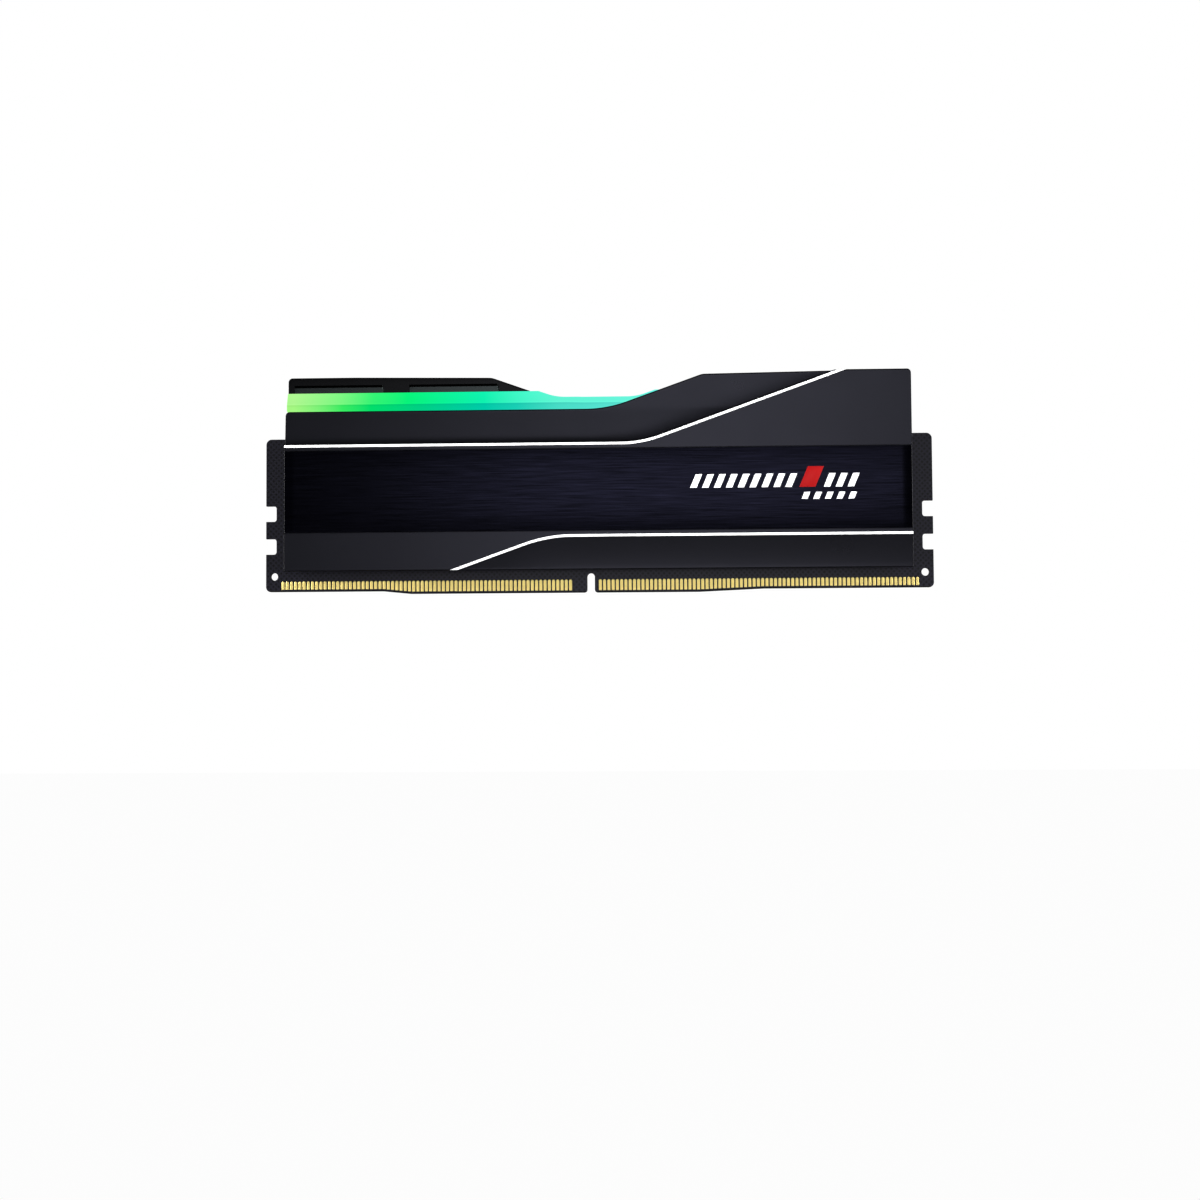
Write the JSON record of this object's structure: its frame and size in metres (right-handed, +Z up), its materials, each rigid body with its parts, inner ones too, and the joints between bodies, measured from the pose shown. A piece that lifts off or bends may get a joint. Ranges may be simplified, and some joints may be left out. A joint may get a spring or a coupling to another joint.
{
  "type": "memory module",
  "caption": "Desktop memory module: notched circuit board with gold edge contacts between two black heat-spreader shells, with a lit bar along the top.",
  "frame": {"origin": "under the middle of the module, at the height of the lowest edge of the circuit board", "axes": "+X along the board, to the right seen from the front; the front shell faces -Y; +Z up, from the edge contacts to the light bar"},
  "size_m": [0.1334, 0.008, 0.0438],
  "materials": {
    "shell_anodised": "fine-blasted, black anodised aluminium, matte",
    "band_brushed": "long-grain brushed, black anodised aluminium, satin",
    "line_enamel": "white enamel line, satin",
    "board_mask": "black solder mask on glass-epoxy laminate, hatched copper below",
    "contact_gold": "hard gold plating",
    "light_diffuser": "milky acrylic, lit green to turquoise from within",
    "led_lens": "clear moulded lens on a white package",
    "pad_silicone": "soft filled silicone pad",
    "inductor_ferrite": "moulded ferrite powder",
    "capacitor_ceramic": "sintered ceramic, tinned ends",
    "resistor_glaze": "black glazed film on white ceramic",
    "chip_epoxy": "moulded black epoxy, slightly glossy"
  },
  "bodies": {
    "root": {"band_back": "band_brushed", "band_front": "band_brushed", "bulk_capacitors": "capacitor_ceramic", "circuit_board": "board_mask", "contacts_back": "contact_gold", "contacts_front": "contact_gold", "decoupling_capacitors": "capacitor_ceramic", "hub_chip": "chip_epoxy", "led_1": "led_lens", "led_2": "led_lens", "led_3": "led_lens", "led_4": "led_lens", "led_5": "led_lens", "led_6": "led_lens", "led_7": "led_lens", "led_8": "led_lens", "light_bar": "light_diffuser", "light_controller": "chip_epoxy", "memory_chip_1": "chip_epoxy", "memory_chip_2": "chip_epoxy", "memory_chip_3": "chip_epoxy", "memory_chip_4": "chip_epoxy", "memory_chip_5": "chip_epoxy", "memory_chip_6": "chip_epoxy", "memory_chip_7": "chip_epoxy", "memory_chip_8": "chip_epoxy", "power_chip": "chip_epoxy", "power_inductor_1": "inductor_ferrite", "power_inductor_2": "inductor_ferrite", "power_inductor_3": "inductor_ferrite", "spreader_back": "shell_anodised", "spreader_front": "shell_anodised", "termination_resistors": "resistor_glaze", "thermal_pad_back": "pad_silicone", "thermal_pad_left": "pad_silicone", "thermal_pad_power": "pad_silicone", "thermal_pad_right": "pad_silicone", "trim_lower_back": "line_enamel", "trim_lower_front": "line_enamel", "trim_upper_back": "line_enamel", "trim_upper_front": "line_enamel"}
  },
  "joints": []
}
